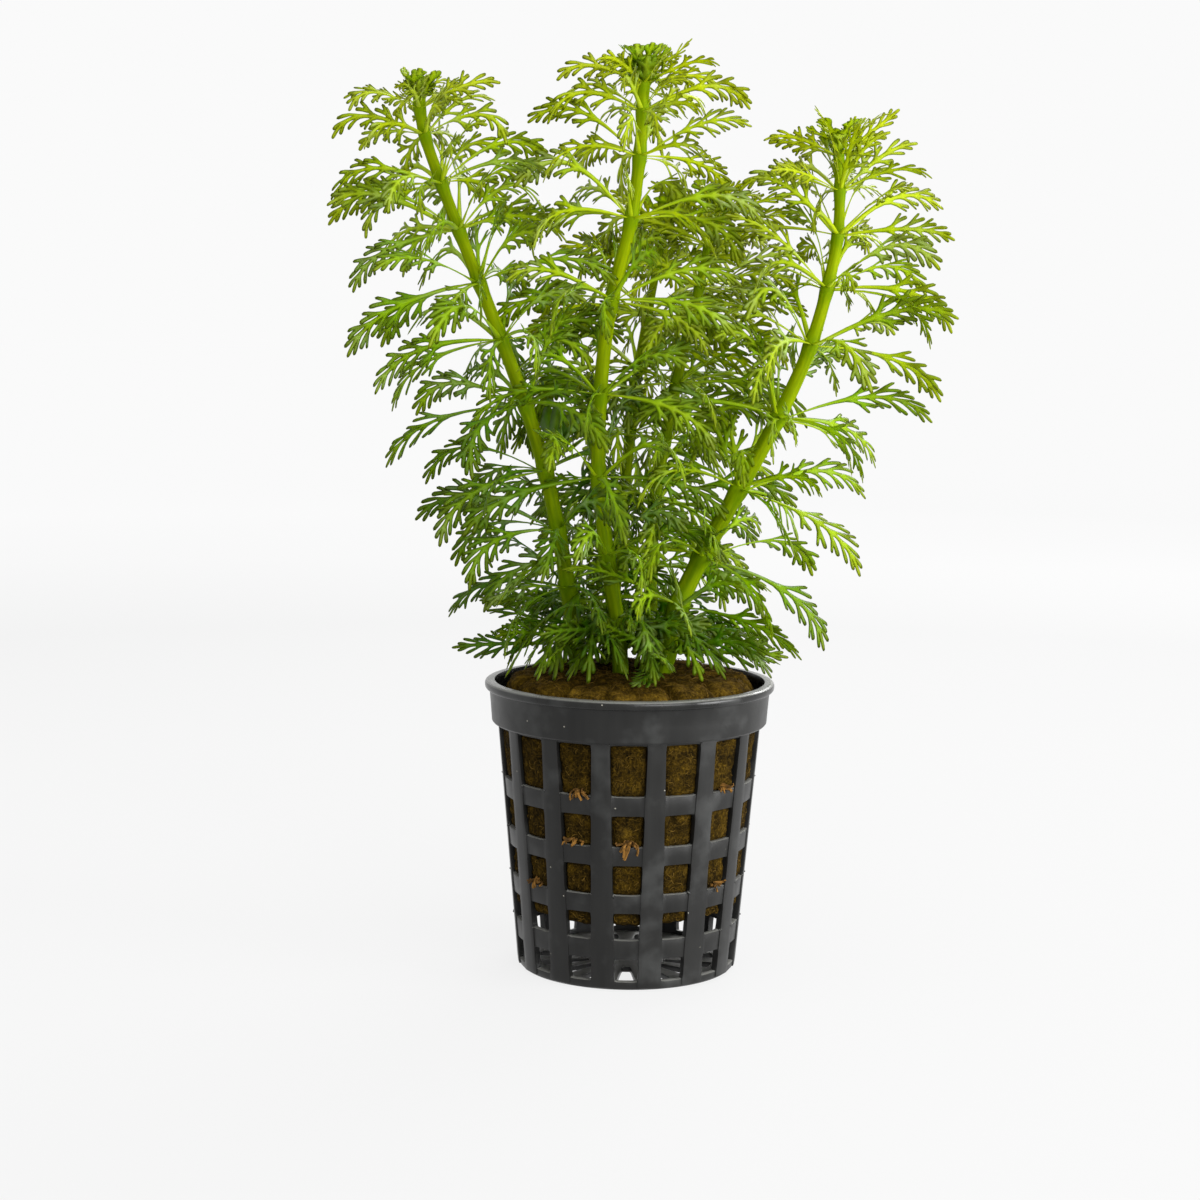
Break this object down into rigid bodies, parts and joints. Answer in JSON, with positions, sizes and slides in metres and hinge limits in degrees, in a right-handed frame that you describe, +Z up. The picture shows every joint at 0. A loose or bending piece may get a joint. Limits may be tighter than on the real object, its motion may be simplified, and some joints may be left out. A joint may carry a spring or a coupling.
{
  "type": "potted limnophila",
  "caption": "Bushy aquarium stem plant with rings of feathery cut leaves, rooted in a rockwool plug inside a tapered plastic net pot with rows of windows.",
  "frame": {"origin": "middle of the net pot's underside, on the surface that it stands on", "axes": "+Z up along the pot's axis, -Y towards the side that the picture shows, +X to that view's right"},
  "size_m": [0.1158, 0.0793, 0.1729],
  "materials": {
    "pot_plastic": "dark grey moulded polypropylene, satin, a little glossier on the lip",
    "rockwool": "moist brown mineral wool, fibrous and matt",
    "stem": "fresh yellow-green stem, smooth with a soft sheen",
    "leaf": "thin green leaf, yellow-green when young, soft sheen, light shines through"
  },
  "bodies": {
    "root": {"net_pot": "pot_plastic", "rockwool_plug": "rockwool", "stem_back_left": "stem", "stem_back_right": "stem", "stem_centre": "stem", "stem_left": "stem", "stem_right": "stem", "whorl_back_left_01": "leaf", "whorl_back_left_02": "leaf", "whorl_back_left_03": "leaf", "whorl_back_left_04": "leaf", "whorl_back_left_05": "leaf", "whorl_back_left_06": "leaf", "whorl_back_left_07": "leaf", "whorl_back_left_08": "leaf", "whorl_back_left_09": "leaf", "whorl_back_right_01": "leaf", "whorl_back_right_02": "leaf", "whorl_back_right_03": "leaf", "whorl_back_right_04": "leaf", "whorl_back_right_05": "leaf", "whorl_back_right_06": "leaf", "whorl_back_right_07": "leaf", "whorl_back_right_08": "leaf", "whorl_back_right_09": "leaf", "whorl_back_right_10": "leaf", "whorl_centre_01": "leaf", "whorl_centre_02": "leaf", "whorl_centre_03": "leaf", "whorl_centre_04": "leaf", "whorl_centre_05": "leaf", "whorl_centre_06": "leaf", "whorl_centre_07": "leaf", "whorl_centre_08": "leaf", "whorl_centre_09": "leaf", "whorl_centre_10": "leaf", "whorl_left_01": "leaf", "whorl_left_02": "leaf", "whorl_left_03": "leaf", "whorl_left_04": "leaf", "whorl_left_05": "leaf", "whorl_left_06": "leaf", "whorl_left_07": "leaf", "whorl_left_08": "leaf", "whorl_left_09": "leaf", "whorl_left_10": "leaf", "whorl_left_11": "leaf", "whorl_left_12": "leaf", "whorl_right_01": "leaf", "whorl_right_02": "leaf", "whorl_right_03": "leaf", "whorl_right_04": "leaf", "whorl_right_05": "leaf", "whorl_right_06": "leaf", "whorl_right_07": "leaf", "whorl_right_08": "leaf", "whorl_right_09": "leaf", "whorl_right_10": "leaf", "whorl_right_11": "leaf"}
  },
  "joints": []
}
